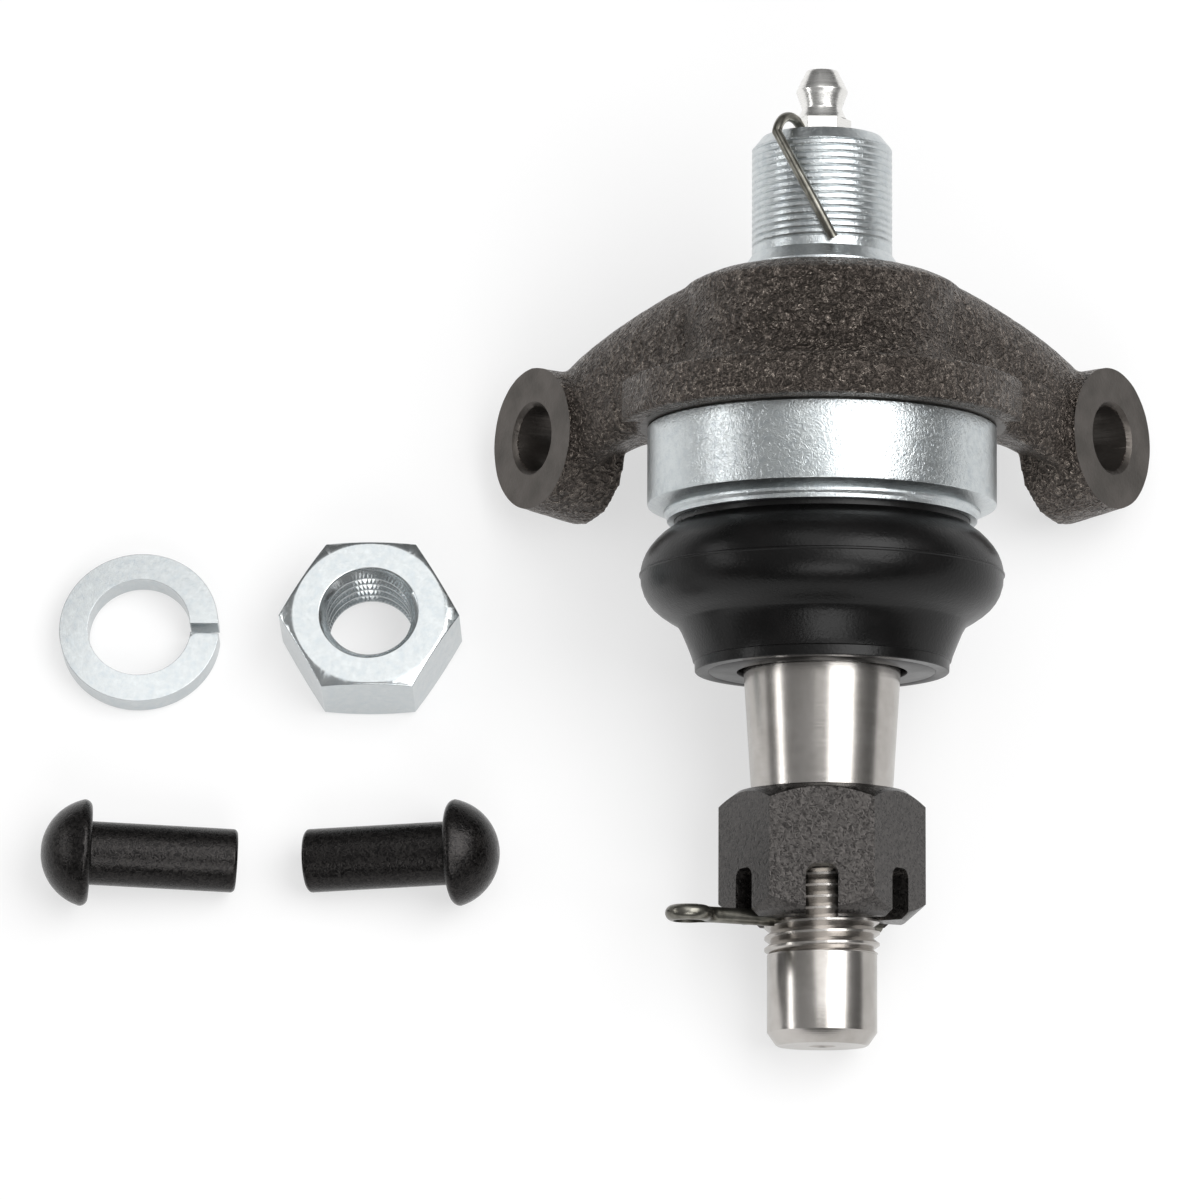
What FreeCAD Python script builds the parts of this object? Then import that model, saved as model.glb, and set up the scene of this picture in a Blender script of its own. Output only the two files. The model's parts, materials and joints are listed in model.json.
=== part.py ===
"""Suspension ball joint with its forged yoke, lying on a table beside its loose nut, lock washer and rivets.

The joint is drawn about the centre of its ball, with the threaded shank up (+Z), the stud's tip down and the
side that faces up from the table at -Y. A pose then lays it down on its two ear bosses and its castle nut.
All sizes are millimetres.
"""

import FreeCAD, Part
import math
import os
import re
import Sketcher

SIZES = {
    # Ball stud
    "ball_radius": 12.0,
    "ball_flat_height": 11.6,
    "neck_radius": 6.3,
    "neck_end": -14.5,
    "land_radius": 9.8,
    "land_start": -19.5,
    "taper_start": -25.4,
    "taper_end": -41.1,
    "taper_end_radius": 8.8,
    "stud_thread_radius": 7.14,
    "stud_thread_end": -61.4,
    "pilot_radius": 6.8,
    "pilot_end": -71.0,
    "tip_end": -72.65,
    "tip_radius": 5.65,
    "centre_drill_radius": 1.7,
    "centre_drill_depth": 2.2,
    # Castle nut and its cotter pin
    "nut_flats": 22.2,
    "nut_top": -41.3,
    "nut_bottom": -57.3,
    "nut_top_face_radius": 10.5,
    "nut_top_chamfer": 1.75,
    "nut_bottom_face_radius": 10.3,
    "nut_bottom_chamfer": 2.2,
    "slot_width": 4.0,
    "slot_depth": 6.1,
    "slot_corner": 1.3,
    "pin_height": -57.2,
    "pin_radius": 1.0,
    "pin_hole_radius": 1.6,
    "pin_angle": 60.0,
    "pin_reach": 8.2,
    "eye_reach": 21.7,
    "eye_radius": 1.9,
    "eye_neck_radius": 2.5,
    # Bearings and the spring that keeps them pressed on the ball
    "liner_wall": 1.7,
    "liner_rim": 0.3,
    "liner_crown": 9.4,
    "seat_outer_radius": 15.4,
    "seat_bottom": -5.2,
    "plate_radius": 7.2,
    "plate_bottom": 9.8,
    "plate_top": 12.9,
    "spring_thickness": 1.0,
    "spring_cone": 1.6,
    # Housing with its cup and threaded shank
    "cup_wall": 2.1,
    "cup_top": 4.58,
    "cup_bottom": -5.22,
    "cup_lip_wall": 0.2,
    "cup_lip": -6.12,
    "dome_radius": 16.0,
    "dome_shoulder": 6.0,
    "dome_top": 15.2,
    "collar_radius": 9.95,
    "collar_top": 24.7,
    "shank_radius": 8.8,
    "shank_start": 26.35,
    "shank_end": 41.43,
    "shank_end_radius": 7.55,
    "shank_chamfer": 1.55,
    "grease_hole_radius": 1.6,
    # Closing ring in the mouth of the cup
    "ring_radius": 19.7,
    "ring_opening": 11.1,
    "ring_plate": 1.3,
    "ring_bottom": -7.32,
    "ring_groove_depth": 0.35,
    "ring_groove_height": 0.7,
    "ring_rim_wall": 0.9,
    # Rubber boot and its two rings
    "boot_fold_radius": 6.25,
    "boot_fold_centre": 16.5,
    "boot_fold_height": -14.05,
    "boot_wall": 1.9,
    "boot_skirt_end": -24.6,
    "boot_skirt_radius": 16.1,
    "boot_flange_radius": 15.8,
    "boot_bottom": -26.2,
    "boot_hole_radius": 10.55,
    "boot_bead_radius": 13.3,
    "neck_ring_radius": 11.4,
    "lip_ring_radius": 12.6,
    "lip_ring_height": 1.2,
    # Grease fitting, its check ball and spring
    "fitting_flats": 6.35,
    "fitting_hex_height": 2.42,
    "fitting_neck_radius": 2.49,
    "fitting_neck_rise": 1.4,
    "fitting_head_radius": 3.27,
    "fitting_head_rise": 2.25,
    "fitting_cone_rise": 2.62,
    "fitting_top_radius": 2.0,
    "fitting_thread_radius": 3.1,
    "fitting_thread_length": 5.6,
    "fitting_bore_radius": 1.15,
    "fitting_mouth_radius": 0.7,
    "fitting_crimp": 0.6,
    "check_ball_radius": 1.0,
    "check_spring_wire": 0.3,
    # Forged yoke
    "yoke_top": 23.9,
    "yoke_top_radius": 12.5,
    "bell_shoulder_radius": 17.4,
    "bell_shoulder": 21.9,
    "bell_radius": 18.0,
    "bell_foot": 15.0,
    "seat_flange_wall": 0.6,
    "seat_flange_top": 9.4,
    "spot_face_margin": 1.1,
    "pad_front": 25.3,
    "pad_end_x": 25.0,
    "pad_end_y": 4.4,
    "pad_top": 9.75,
    "pad_wall": 5.0,
    "arm_corner": 5.0,
    "arm_root_x": 8.0,
    "arm_root_front": -13.0,
    "arm_root_back": 13.0,
    "arm_root_top": 23.0,
    "arm_root_bottom": 4.7,
    "arm_shoulder_x": 18.4,
    "arm_shoulder_front": -4.6,
    "arm_shoulder_back": 15.0,
    "arm_shoulder_top": 21.8,
    "arm_shoulder_bottom": 4.7,
    "arm_middle_x": 25.4,
    "arm_middle_front": 2.6,
    "arm_middle_back": 19.5,
    "arm_middle_top": 18.9,
    "arm_middle_bottom": 3.8,
    "arm_end_x": 31.4,
    "arm_end_front": 9.6,
    "arm_end_back": 23.5,
    "arm_end_top": 15.5,
    "arm_end_bottom": 0.8,
    "arm_tip_x": 34.2,
    "arm_tip_front": 14.2,
    "arm_tip_back": 25.0,
    "arm_tip_top": 13.2,
    "arm_tip_bottom": 2.0,
    "ear_x": 36.9,
    "ear_depth": 16.2,
    "ear_height": 6.25,
    "ear_radius": 9.0,
    "ear_back_radius": 9.5,
    "ear_droop": 0.9,
    "ear_thickness": 8.4,
    "ear_angle": 34.5,
    "ear_bore_radius": 4.15,
    "ear_bore_chamfer": 0.4,
    "bolt_seat_margin": 1.5,
    # Wire hooked over the end of the shank
    "wire_radius": 0.6,
    "wire_foot_gap": 0.6,
    "wire_foot_angle": 8.6,
    "wire_bend_angle": -34.0,
    "wire_bend_height": 40.6,
    "wire_rise": 0.9,
    "wire_inner_radius": 4.7,
    # Loose lock washer, jam nut and two rivets on the table
    "washer_bore_radius": 6.5,
    "washer_width": 3.6,
    "washer_thickness": 3.2,
    "washer_spring": 1.5,
    "washer_gap": 0.012,
    "washer_x": -86.7,
    "washer_y": -11.75,
    "jam_nut_flats": 19.8,
    "jam_nut_height": 9.6,
    "jam_nut_face_radius": 9.5,
    "jam_nut_chamfer": 0.9,
    "jam_nut_bore_radius": 5.35,
    "jam_nut_countersink": 0.95,
    "jam_nut_x": -57.2,
    "jam_nut_y": -12.35,
    "rivet_radius": 3.97,
    "rivet_length": 18.2,
    "rivet_head_radius": 6.65,
    "rivet_head_height": 6.1,
    "rivet_head_brim": 1.0,
    "rivet_end_chamfer": 0.35,
    "rivet_left_x": -91.2,
    "rivet_right_x": -46.3,
    "rivet_y": -44.0,
    # Clearances
    "running_fit": 0.05,
    "press_gap": 0.02,
    "rubber_gap": 0.3,
}

doc = FreeCAD.newDocument("ball_joint")
sheet = doc.addObject("Spreadsheet::Sheet", "Sizes")
for row, (alias, value) in enumerate(SIZES.items(), 1):
    sheet.set(f"A{row}", alias)
    sheet.set(f"B{row}", str(value))
    sheet.setAlias(f"B{row}", alias)
doc.recompute()

subparts = []


def size(alias):
    return float(getattr(sheet, alias))


def formula(text):
    """A sum of sizes as an expression that reads the sheet."""
    return re.sub(r"[a-z][a-z_]*", lambda word: "Sizes." + word.group(), text)


def number(text):
    """The present value of a sum of sizes, such as 'cup_top + 0.5 * press_gap'."""
    total = 0.0
    for term in text.replace(" - ", " + -").split(" + "):
        value = -1.0 if term.startswith("-") else 1.0
        for factor in term.lstrip("-").split(" * "):
            value *= size(factor) if factor[0].isalpha() else float(factor)
        total += value
    return total


def point(x, y):
    return FreeCAD.Vector(number(x), number(y), 0)


def bind(thing, **expressions):
    for name, text in expressions.items():
        thing.setExpression(name, formula(text))
    return thing


def origin_plane(body, role):
    return next(plane for plane in body.Origin.OriginFeatures if plane.Role == role)


def new_body(label):
    body = doc.addObject("PartDesign::Body", label)
    body.Label = label
    subparts.append(body)
    return body


def pin_point(sketch, geometry, end, x, y):
    """Holds one point of a sketch at a place given by two sums of sizes."""
    for kind, axis, text in (("DistanceX", -2, x), ("DistanceY", -1, y)):
        if text == "0":
            sketch.addConstraint(Sketcher.Constraint("PointOnObject", geometry, end, axis))
            continue
        rule = Sketcher.Constraint(kind, -1, 1, geometry, end, number(text))
        sketch.setExpression(f"Constraints[{sketch.addConstraint(rule)}]", formula(text))


def new_sketch(body, name, plane, lift=None):
    sketch = body.newObject("Sketcher::SketchObject", name)
    sketch.AttachmentSupport = [(origin_plane(body, plane), "")]
    sketch.MapMode = "FlatFace"
    if isinstance(lift, str):
        sketch.setExpression("AttachmentOffset.Base.z", formula(lift))
    elif lift:
        sketch.AttachmentOffset = lift
    return sketch


def arc_through(start, via, end):
    """An arc between two points by way of a third, and whether it runs from the first to the last."""
    a, b = via - start, end - start
    cross = a.x * b.y - a.y * b.x
    across = (b.y * a.dot(a) - a.y * b.dot(b)) / (2 * cross)
    along = (a.x * b.dot(b) - b.x * a.dot(a)) / (2 * cross)
    centre = start + FreeCAD.Vector(across, along, 0)
    angles = [math.atan2(spot.y - centre.y, spot.x - centre.x) for spot in (start, end)]
    forward = cross > 0
    first, last = angles if forward else reversed(angles)
    circle = Part.Circle(centre, FreeCAD.Vector(0, 0, 1), (start - centre).Length)
    return Part.ArcOfCircle(circle, first, last if last > first else last + 2 * math.pi), forward


def draw(body, name, plane, outline, lift=None):
    """A closed outline. Each corner is (x, y), or (x, y, via x, via y) where an arc leads to the next corner."""
    sketch = new_sketch(body, name, plane, lift)
    ends = []
    for corner, following in zip(outline, outline[1:] + outline[:1]):
        start, end = point(*corner[:2]), point(*following[:2])
        if len(corner) == 2:
            sketch.addGeometry(Part.LineSegment(start, end), False)
            ends.append((1, 2))
            continue
        arc, forward = arc_through(start, point(*corner[2:]), end)
        sketch.addGeometry(arc, False)
        ends.append((1, 2) if forward else (2, 1))
    for index, corner in enumerate(outline):
        following = (index + 1) % len(outline)
        joined = (index, ends[index][1], following, ends[following][0])
        sketch.addConstraint(Sketcher.Constraint("Coincident", *joined))
        pin_point(sketch, index, ends[index][0], *corner[:2])
    for index, corner in enumerate(outline):
        if len(corner) == 4:
            mark = sketch.addGeometry(Part.Point(point(*corner[2:])), True)
            pin_point(sketch, mark, 1, *corner[2:])
            sketch.addConstraint(Sketcher.Constraint("PointOnObject", mark, 1, index))
    return sketch


def draw_circle(body, name, plane, radius, lift=None):
    sketch = new_sketch(body, name, plane, lift)
    circle = Part.Circle(FreeCAD.Vector(0, 0, 0), FreeCAD.Vector(0, 0, 1), number(radius))
    sketch.addGeometry(circle, False)
    sketch.addConstraint(Sketcher.Constraint("Coincident", 0, 3, -1, 1))
    rule = sketch.addConstraint(Sketcher.Constraint("Radius", 0, number(radius)))
    sketch.setExpression(f"Constraints[{rule}]", formula(radius))
    return sketch


def feature(body, kind, name, sketch=None, **expressions):
    made = body.newObject("PartDesign::" + kind, name)
    if sketch:
        made.Profile = sketch
        sketch.Visibility = False
    if kind in ("Revolution", "Groove", "AdditiveHelix"):
        made.ReferenceAxis = (sketch, ["V_Axis"])
    bind(made, **expressions)
    doc.recompute()
    return made


def turned(label, outline):
    """A piece turned about Z, from its half outline of (radius, height) corners."""
    body = new_body(label)
    feature(body, "Revolution", label + "_turned", draw(body, label + "_outline", "XZ_Plane", outline))
    return body


def groove(body, name, outline):
    """Turns material away. It has to take some, or its outline missed the solid."""
    before = body.Shape.Volume
    feature(body, "Groove", name, draw(body, name + "_outline", "XZ_Plane", outline))
    if not body.Shape.Volume < before - 1e-3:
        raise ValueError(name + " cut nothing")


def pocket(body, name, sketch, depth, both_ways=True):
    """Cuts both ways from its sketch, or only to the back of it."""
    before = body.Shape.Volume
    cut = feature(body, "Pocket", name, sketch, Length=depth)
    cut.Midplane = both_ways
    doc.recompute()
    if not body.Shape.Volume < before - 1e-3:
        raise ValueError(name + " cut nothing")
    return cut


def hexagon(flats):
    """Corner points of a hexagon with two corners on the X axis."""
    half_side, side, half = f"0.288675 * {flats}", f"0.57735 * {flats}", f"0.5 * {flats}"
    return [
        (side, "0"),
        (half_side, half),
        ("-" + half_side, half),
        ("-" + side, "0"),
        ("-" + half_side, "-" + half),
        (half_side, "-" + half),
    ]


def chamfer_corners(body, name, flats, face_radius, face, inner):
    """Turns the corners of a hexagon down to its round face."""
    outline = [(face_radius, face), (f"{flats}", face), (f"{flats}", inner)]
    outline.append((f"0.57735 * {flats}", inner))
    groove(body, name, outline)


def place(things, pose):
    for thing in things:
        thing.Placement = pose


# Ball stud

stud = turned(
    "ball_stud",
    [
        ("0", "-0.5 * ball_radius"),
        ("neck_radius", "-0.5 * ball_radius"),
        ("neck_radius", "neck_end"),
        ("land_radius", "land_start"),
        ("land_radius", "taper_start"),
        ("taper_end_radius", "taper_end"),
        ("stud_thread_radius", "taper_end"),
        ("stud_thread_radius", "stud_thread_end"),
        ("pilot_radius", "stud_thread_end"),
        ("pilot_radius", "pilot_end"),
        ("tip_radius", "tip_end"),
        ("centre_drill_radius", "tip_end"),
        ("0", "tip_end + centre_drill_depth"),
    ],
)
feature(stud, "AdditiveSphere", "stud_ball", Radius="ball_radius")
groove(
    stud,
    "stud_crown",
    [
        ("0", "ball_flat_height"),
        ("ball_radius", "ball_flat_height"),
        ("ball_radius", "2 * ball_radius"),
        ("0", "2 * ball_radius"),
    ],
)


def across_pin(u, w):
    """A point of the cotter pin's plane: u along the pin towards its legs, w across it."""
    turn = math.radians(size("pin_angle"))
    along = FreeCAD.Vector(math.sin(turn), math.cos(turn), 0)
    side = FreeCAD.Vector(math.cos(turn), -math.sin(turn), 0)
    return along * u + side * w + FreeCAD.Vector(0, 0, size("pin_height"))


pin_axis = across_pin(1, 0) - across_pin(0, 0)
pin_hole = stud.newObject("PartDesign::SubtractiveCylinder", "stud_pin_hole")
bind(pin_hole, Radius="pin_hole_radius", Height="2 * nut_flats")
pin_hole.Placement = FreeCAD.Placement(
    across_pin(-size("nut_flats"), 0), FreeCAD.Rotation(FreeCAD.Vector(0, 0, 1), pin_axis)
)
doc.recompute()

# Castle nut, slotted on every flat

castle_nut = new_body("castle_nut")
nut_outline = draw(castle_nut, "castle_hexagon", "XY_Plane", hexagon("nut_flats"), lift="nut_bottom")
feature(castle_nut, "Pad", "castle_blank", nut_outline, Length="nut_top - nut_bottom")
chamfer_corners(
    castle_nut, "castle_top_chamfer", "nut_flats", "nut_top_face_radius", "nut_top", "nut_top - nut_top_chamfer"
)
chamfer_corners(
    castle_nut,
    "castle_bottom_chamfer",
    "nut_flats",
    "nut_bottom_face_radius",
    "nut_bottom",
    "nut_bottom + nut_bottom_chamfer",
)
nut_bore = draw_circle(castle_nut, "castle_bore_circle", "XY_Plane", "stud_thread_radius + press_gap")
pocket(castle_nut, "castle_bore", nut_bore, "-4 * nut_bottom")
slot_top = "nut_bottom + slot_depth"
slot_outline = [
    ("-0.5 * slot_width", "nut_bottom - slot_depth"),
    ("0.5 * slot_width", "nut_bottom - slot_depth"),
    (
        "0.5 * slot_width",
        slot_top + " - slot_corner",
        "0.5 * slot_width - 0.2929 * slot_corner",
        slot_top + " - 0.2929 * slot_corner",
    ),
    ("0.5 * slot_width - slot_corner", slot_top),
    (
        "slot_corner - 0.5 * slot_width",
        slot_top,
        "0.2929 * slot_corner - 0.5 * slot_width",
        slot_top + " - 0.2929 * slot_corner",
    ),
    ("-0.5 * slot_width", slot_top + " - slot_corner"),
]
slot = pocket(
    castle_nut, "castle_slot", draw(castle_nut, "castle_slot_outline", "XZ_Plane", slot_outline), "2 * nut_flats"
)
slots = castle_nut.newObject("PartDesign::PolarPattern", "castle_slots")
slots.Originals = [slot]
slots.Axis = (nut_outline, ["N_Axis"])
slots.Angle = 120
slots.Occurrences = 3
castle_nut.Tip = slots
doc.recompute()


def swept(path, profile):
    """A solid swept along a flat or smooth path."""
    shell = Part.BRepOffsetAPI.MakePipeShell(path)
    shell.setFrenetMode(False)
    shell.add(profile)
    shell.build()
    shell.makeSolid()
    return shell.shape()


def set_feature(label, shape):
    made = doc.addObject("Part::Feature", label)
    made.Label = label
    made.Shape = shape
    subparts.append(made)
    return made


def cotter_pin_shape():
    """Half-round wire folded into two legs and an eye, flat sides together."""
    gap, eye, neck = size("press_gap"), size("eye_radius"), size("eye_neck_radius")
    wire = size("pin_radius") - gap
    middle = eye + wire - size("eye_reach")
    bend = middle + math.sqrt((eye + neck) ** 2 - (gap + neck) ** 2)
    touch = middle + (bend - middle) * eye / (eye + neck)
    touch_w = (gap + neck) * eye / (eye + neck)
    lead = (bend - touch) / neck
    half_turn = 0.5 * math.asin(lead)
    via_u, via_w = bend - neck * math.sin(half_turn), gap + neck - neck * math.cos(half_turn)
    edges = [
        Part.LineSegment(across_pin(size("pin_reach"), gap), across_pin(bend, gap)).toShape(),
        Part.Arc(across_pin(bend, gap), across_pin(via_u, via_w), across_pin(touch, touch_w)).toShape(),
        Part.Arc(
            across_pin(touch, touch_w), across_pin(middle - eye, 0), across_pin(touch, -touch_w)
        ).toShape(),
        Part.Arc(across_pin(touch, -touch_w), across_pin(via_u, -via_w), across_pin(bend, -gap)).toShape(),
        Part.LineSegment(across_pin(bend, -gap), across_pin(size("pin_reach"), -gap)).toShape(),
    ]
    up = FreeCAD.Vector(0, 0, wire)
    start = across_pin(size("pin_reach"), gap)
    crown = across_pin(size("pin_reach"), gap + wire)
    half_round = Part.Wire(
        [
            Part.Arc(start - up, crown, start + up).toShape(),
            Part.LineSegment(start + up, start - up).toShape(),
        ]
    )
    return swept(Part.Wire(edges), half_round)


cotter_pin = set_feature("cotter_pin", cotter_pin_shape())

# Bearings, pressure plate and preload spring round the ball

lower_bearing = turned(
    "lower_bearing",
    [
        ("0.5 * ball_radius", "seat_bottom"),
        ("seat_outer_radius", "seat_bottom"),
        ("seat_outer_radius", "0"),
        ("0.5 * ball_radius", "0"),
    ],
)
feature(lower_bearing, "SubtractiveSphere", "lower_bearing_seat", Radius="ball_radius + running_fit")

upper_bearing = new_body("upper_bearing")
feature(upper_bearing, "AdditiveSphere", "upper_bearing_blank", Radius="ball_radius + running_fit + liner_wall")
groove(
    upper_bearing,
    "upper_bearing_rim",
    [
        ("0", "liner_rim"),
        ("2 * ball_radius", "liner_rim"),
        ("2 * ball_radius", "-2 * ball_radius"),
        ("0", "-2 * ball_radius"),
    ],
)
groove(
    upper_bearing,
    "upper_bearing_crown",
    [
        ("0", "liner_crown"),
        ("2 * ball_radius", "liner_crown"),
        ("2 * ball_radius", "2 * ball_radius"),
        ("0", "2 * ball_radius"),
    ],
)
feature(upper_bearing, "SubtractiveSphere", "upper_bearing_seat", Radius="ball_radius + running_fit")

pressure_plate = turned(
    "pressure_plate",
    [
        ("grease_hole_radius", "plate_bottom"),
        ("plate_radius", "plate_bottom"),
        ("plate_radius", "plate_top"),
        ("grease_hole_radius", "plate_top"),
    ],
)
feature(pressure_plate, "SubtractiveSphere", "pressure_plate_seat", Radius="ball_radius + running_fit")

spring_foot = "plate_top + press_gap"
preload_spring = turned(
    "preload_spring",
    [
        ("2 * grease_hole_radius", spring_foot + " + spring_cone"),
        ("plate_radius - running_fit", spring_foot),
        ("plate_radius - running_fit", spring_foot + " + spring_thickness"),
        ("2 * grease_hole_radius", spring_foot + " + spring_cone + spring_thickness"),
    ],
)

# Housing: cup, dome and threaded shank in one piece

pocket_top = spring_foot + " + spring_cone + spring_thickness + press_gap"
fitting_hole = "fitting_thread_radius + press_gap"
cup_radius = "ring_radius + cup_wall"
housing = turned(
    "housing",
    [
        (fitting_hole, "shank_end"),
        ("shank_end_radius", "shank_end"),
        ("shank_radius", "shank_end - shank_chamfer"),
        ("shank_radius", "shank_start"),
        ("collar_radius", "collar_top"),
        ("collar_radius", "dome_top"),
        ("dome_radius", "dome_shoulder"),
        ("dome_radius", "cup_top"),
        (cup_radius, "cup_top"),
        (cup_radius, "cup_bottom"),
        ("ring_radius + cup_lip_wall", "cup_lip"),
        ("ring_radius + press_gap", "cup_lip"),
        ("ring_radius + press_gap", "seat_bottom"),
        ("seat_outer_radius + running_fit", "seat_bottom"),
        ("seat_outer_radius + running_fit", "press_gap"),
        ("plate_radius + running_fit", "press_gap"),
        ("plate_radius + running_fit", pocket_top),
        ("grease_hole_radius", pocket_top),
        ("grease_hole_radius", "shank_end - fitting_thread_length - fitting_thread_radius"),
        (fitting_hole, "shank_end - fitting_thread_length - press_gap"),
    ],
)
liner_space = "ball_radius + running_fit + liner_wall + running_fit"
feature(housing, "SubtractiveSphere", "housing_socket", Radius=liner_space)

closing_ring = turned(
    "closing_ring",
    [
        ("ring_opening", "seat_bottom - press_gap"),
        ("ring_radius", "seat_bottom - press_gap"),
        ("ring_radius", "cup_lip - 0.5 * ring_groove_height"),
        ("ring_radius - ring_groove_depth", "cup_lip - ring_groove_height"),
        ("ring_radius - ring_groove_depth", "ring_bottom"),
        ("ring_radius - ring_groove_depth - ring_rim_wall", "ring_bottom"),
        ("ring_radius - ring_groove_depth - ring_rim_wall", "seat_bottom - ring_plate"),
        ("ring_opening", "seat_bottom - ring_plate"),
    ],
)

# Rubber boot: bead under the closing ring, one round fold, skirt and flange

bead_radius = "ring_radius - ring_groove_depth - ring_rim_wall - press_gap"
bead_top = "seat_bottom - ring_plate - rubber_gap"
fold_side = "boot_fold_centre + boot_fold_radius"
inner_fold = "boot_fold_radius - boot_wall"
boot = turned(
    "boot",
    [
        ("boot_bead_radius", bead_top),
        (bead_radius, bead_top),
        (
            bead_radius,
            "boot_fold_height + 0.955 * boot_fold_radius",
            fold_side,
            "boot_fold_height",
        ),
        ("boot_fold_centre + 0.22 * boot_fold_radius", "boot_fold_height - 0.975 * boot_fold_radius"),
        ("boot_skirt_radius", "boot_skirt_end"),
        ("boot_skirt_radius", "boot_skirt_end - 0.2 * boot_wall"),
        ("boot_flange_radius", "boot_skirt_end - 0.3 * boot_wall"),
        ("boot_flange_radius", "boot_bottom"),
        ("boot_hole_radius", "boot_bottom"),
        ("boot_hole_radius", "boot_bottom + boot_wall"),
        ("boot_skirt_radius - boot_wall", "boot_bottom + boot_wall"),
        (
            "boot_fold_centre - 0.1 * boot_fold_radius",
            "boot_fold_height - boot_fold_radius + boot_wall",
            "boot_fold_centre + boot_fold_radius - boot_wall",
            "boot_fold_height",
        ),
        ("boot_fold_centre - 0.1 * boot_fold_radius", "boot_fold_height + boot_fold_radius - boot_wall"),
        ("boot_bead_radius", "ring_bottom - 0.5 * boot_wall"),
    ],
)

neck_ring = turned(
    "boot_neck_ring",
    [
        ("neck_ring_radius", bead_top),
        ("boot_bead_radius - press_gap", bead_top),
        ("boot_bead_radius - press_gap", "ring_bottom"),
        ("neck_ring_radius", "ring_bottom"),
    ],
)

lip_ring_bottom = "boot_bottom + boot_wall + rubber_gap"
lip_ring = turned(
    "boot_lip_ring",
    [
        ("land_radius + running_fit", lip_ring_bottom),
        ("lip_ring_radius", lip_ring_bottom),
        ("lip_ring_radius", lip_ring_bottom + " + lip_ring_height"),
        ("land_radius + running_fit", lip_ring_bottom + " + lip_ring_height"),
    ],
)

# Grease fitting: threaded stem, hexagon and rounded head, bored for its check ball

fitting_stem = "shank_end - fitting_thread_length"
fitting_hex_top = "shank_end + fitting_hex_height"
fitting_neck = fitting_hex_top + " + fitting_neck_rise"
fitting_head = fitting_neck + " + fitting_head_rise"
fitting_top = fitting_head + " + fitting_cone_rise"
ball_place = fitting_top + " - 1.6 * check_ball_radius"
grease_fitting = new_body("grease_fitting")
fitting_hexagon = draw(grease_fitting, "fitting_hexagon", "XY_Plane", hexagon("fitting_flats"), lift="shank_end + press_gap")
feature(grease_fitting, "Pad", "fitting_hex", fitting_hexagon, Length="fitting_hex_height - press_gap")
fitting_outline = [
    ("0", fitting_stem),
    ("fitting_thread_radius", fitting_stem),
    ("fitting_thread_radius", fitting_hex_top),
    ("fitting_neck_radius", fitting_neck),
    ("fitting_head_radius", fitting_head),
    ("fitting_top_radius", fitting_top),
    ("0", fitting_top),
]
feature(
    grease_fitting,
    "Revolution",
    "fitting_turned",
    draw(grease_fitting, "fitting_outline", "XZ_Plane", fitting_outline),
)
groove(
    grease_fitting,
    "fitting_bore",
    [
        ("0", fitting_stem),
        ("fitting_mouth_radius", fitting_stem),
        ("fitting_mouth_radius", "shank_end - fitting_thread_length + fitting_crimp"),
        ("fitting_bore_radius", "shank_end - fitting_thread_length + fitting_crimp"),
        ("fitting_bore_radius", ball_place),
        ("fitting_mouth_radius", ball_place + " + 0.8 * check_ball_radius"),
        ("fitting_mouth_radius", fitting_top),
        ("0", fitting_top),
    ],
)
check_ball = doc.addObject("Part::Sphere", "fitting_check_ball")
bind(check_ball, Radius="check_ball_radius")
subparts.append(check_ball)


spring_side = "fitting_bore_radius - running_fit"
spring_inner = "fitting_bore_radius - running_fit - check_spring_wire"
spring_bottom = "shank_end - fitting_thread_length + fitting_crimp + press_gap"
check_spring = new_body("fitting_check_spring")
spring_section = [
    (spring_inner, spring_bottom),
    (spring_side, spring_bottom),
    (spring_side, spring_bottom + " + check_spring_wire"),
    (spring_inner, spring_bottom + " + check_spring_wire"),
]
spring_sketch = draw(check_spring, "check_spring_section", "XZ_Plane", spring_section)
spring_coil = feature(check_spring, "AdditiveHelix", "check_spring_coil", spring_sketch)
spring_top = fitting_top + " - 2.6 * check_ball_radius - check_spring_wire"
spring_coil.Mode = 2
spring_coil.Turns = 5
bind(spring_coil, Height=f"{spring_top} - ({spring_bottom})")
doc.recompute()

# Forged yoke: bell, seat flange, front pad, two arms and two ear bosses

spot_face_radius = "ring_radius + cup_wall + spot_face_margin"
yoke = turned(
    "yoke",
    [
        ("0", "yoke_top"),
        (
            "yoke_top_radius",
            "yoke_top",
            "0.4 * yoke_top_radius + 0.6 * bell_shoulder_radius",
            "0.45 * bell_shoulder + 0.55 * yoke_top",
        ),
        ("bell_shoulder_radius", "bell_shoulder"),
        (
            "bell_radius",
            "bell_foot",
            "0.8 * bell_radius + 0.2 * spot_face_margin + 0.2 * ring_radius + 0.2 * cup_wall",
            "0.3 * bell_foot + 0.7 * seat_flange_top",
        ),
        (spot_face_radius + " + seat_flange_wall", "seat_flange_top"),
        (spot_face_radius + " + seat_flange_wall", "cup_top"),
        ("0", "cup_top"),
    ],
)
pad_outline = [
    ("-pad_end_x", "-pad_end_y", "0", "-pad_front"),
    ("pad_end_x", "-pad_end_y"),
    ("pad_end_x - pad_wall", "-pad_end_y", "0", "pad_wall - pad_front"),
    ("pad_wall - pad_end_x", "-pad_end_y"),
]
pad_sketch = draw(yoke, "yoke_pad_outline", "XY_Plane", pad_outline, lift="cup_top")
feature(yoke, "Pad", "yoke_front_pad", pad_sketch, Length="pad_top - cup_top")


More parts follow.
